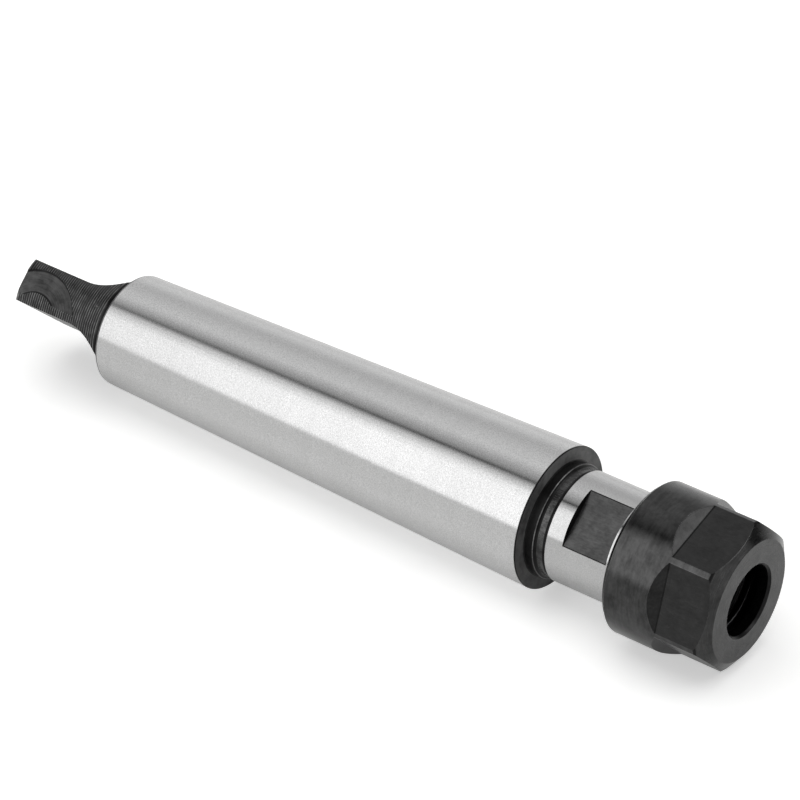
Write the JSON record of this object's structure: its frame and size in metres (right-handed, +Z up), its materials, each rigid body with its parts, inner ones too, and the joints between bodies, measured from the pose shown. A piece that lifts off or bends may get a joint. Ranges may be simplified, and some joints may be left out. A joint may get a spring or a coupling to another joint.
{
  "type": "collet chuck holder",
  "caption": "Morse taper tool holder with a tang at one end and a hexagon clamping nut over a tapered collet socket at the other.",
  "frame": {"origin": "centre of the taper's large end, where it meets the black collar", "axes": "+X along the axis out of the nut's mouth, the tang at -X; +Z up, as the holder lies in the picture"},
  "size_m": [0.1065, 0.019, 0.019],
  "materials": {
    "ground_steel": "hardened and fine ground, with black oxide on the tang, collar, groove and wrench flats",
    "black_oxide_steel": "satin black oxide"
  },
  "bodies": {
    "holder": {"holder_body": "ground_steel"},
    "nut": {"clamping_nut": "black_oxide_steel"}
  },
  "joints": [
    {"name": "nut_turn", "type": "hinge", "parent": "holder", "child": "nut", "pos_m": [0.0196, 0, 0], "axis": [1, 0, 0], "range_deg": [0, 3700]}
  ]
}
